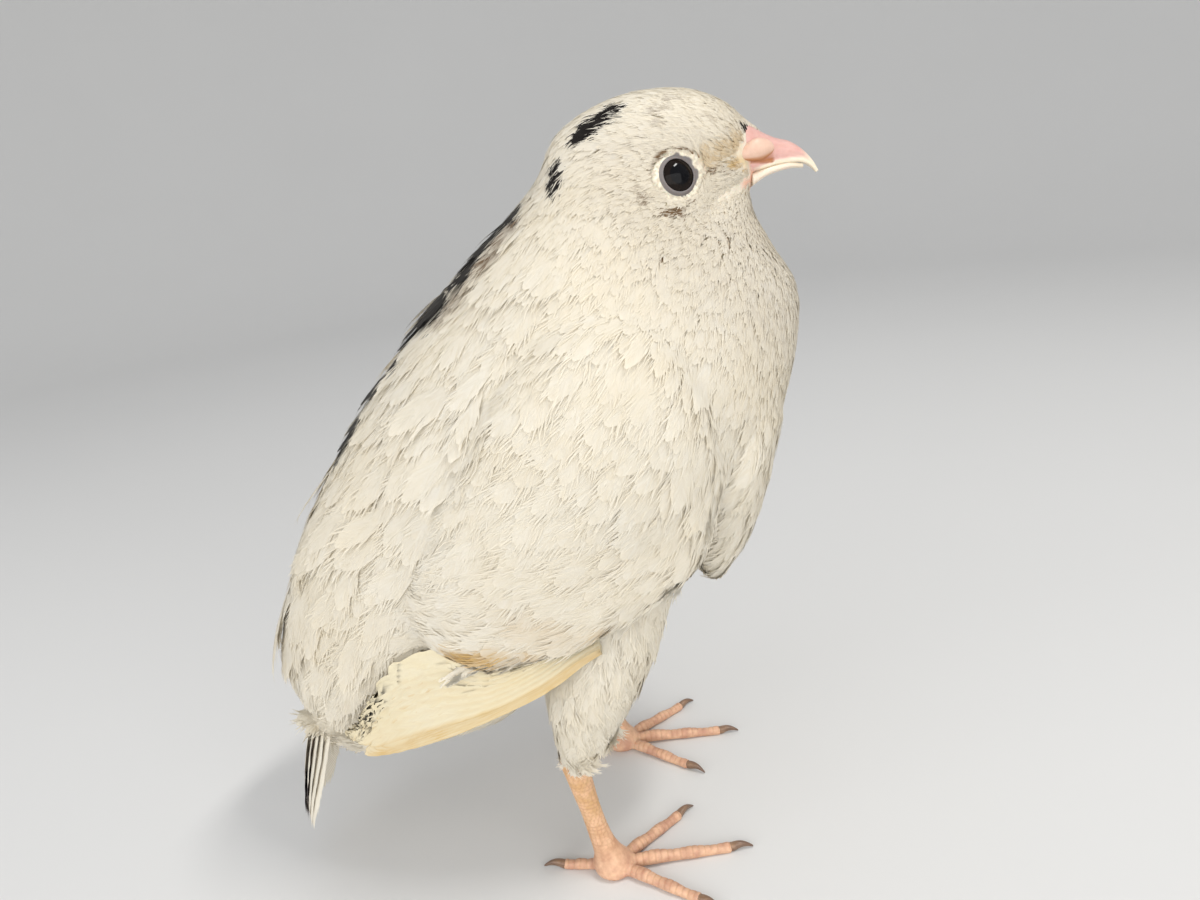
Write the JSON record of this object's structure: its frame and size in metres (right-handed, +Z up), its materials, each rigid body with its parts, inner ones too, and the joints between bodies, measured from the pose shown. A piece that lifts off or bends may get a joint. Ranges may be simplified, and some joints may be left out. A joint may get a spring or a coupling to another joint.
{
  "type": "coturnix quail figure",
  "caption": "Life-size standing coturnix quail, white with black patches, folded wings, drooping short tail, hooked pink bill and scaly toes spread on the floor.",
  "frame": {"origin": "on the floor, below the middle of the overall length and width", "axes": "+X forwards, the way the bill points; +Z up; +Y to the bird's left"},
  "size_m": [0.1146, 0.0672, 0.1409],
  "materials": {
    "plumage": "soft matt feathers, creamy white with a few black patches",
    "flight_feathers": "smooth matt feather vanes, yellowish cream",
    "tail_feathers": "matt feather vanes, cream with dark brown streaks and rufous tips",
    "bill": "satin horn, pink with an ivory tip and cutting edge",
    "leg_skin": "fine scaly skin, orange yellow to pinkish brown",
    "claw": "satin horn, brown",
    "eye": "wet gloss, black"
  },
  "bodies": {
    "root": {"bill_lower": "bill", "bill_upper": "bill", "breast_lobe_left": "plumage", "breast_lobe_right": "plumage", "claw_hallux_left": "claw", "claw_hallux_right": "claw", "claw_inner_left": "claw", "claw_inner_right": "claw", "claw_middle_left": "claw", "claw_middle_right": "claw", "claw_outer_left": "claw", "claw_outer_right": "claw", "eye_left": "eye", "eye_right": "eye", "flight_feathers_left": "flight_feathers", "flight_feathers_right": "flight_feathers", "head": "plumage", "neck": "plumage", "nostril_flap_left": "bill", "nostril_flap_right": "bill", "shank_left": "leg_skin", "shank_right": "leg_skin", "tail": "tail_feathers", "thigh_left": "plumage", "thigh_right": "plumage", "toe_hallux_left": "leg_skin", "toe_hallux_right": "leg_skin", "toe_inner_left": "leg_skin", "toe_inner_right": "leg_skin", "toe_middle_left": "leg_skin", "toe_middle_right": "leg_skin", "toe_outer_left": "leg_skin", "toe_outer_right": "leg_skin", "trunk": "plumage", "wing_left": "plumage", "wing_right": "plumage"}
  },
  "joints": []
}
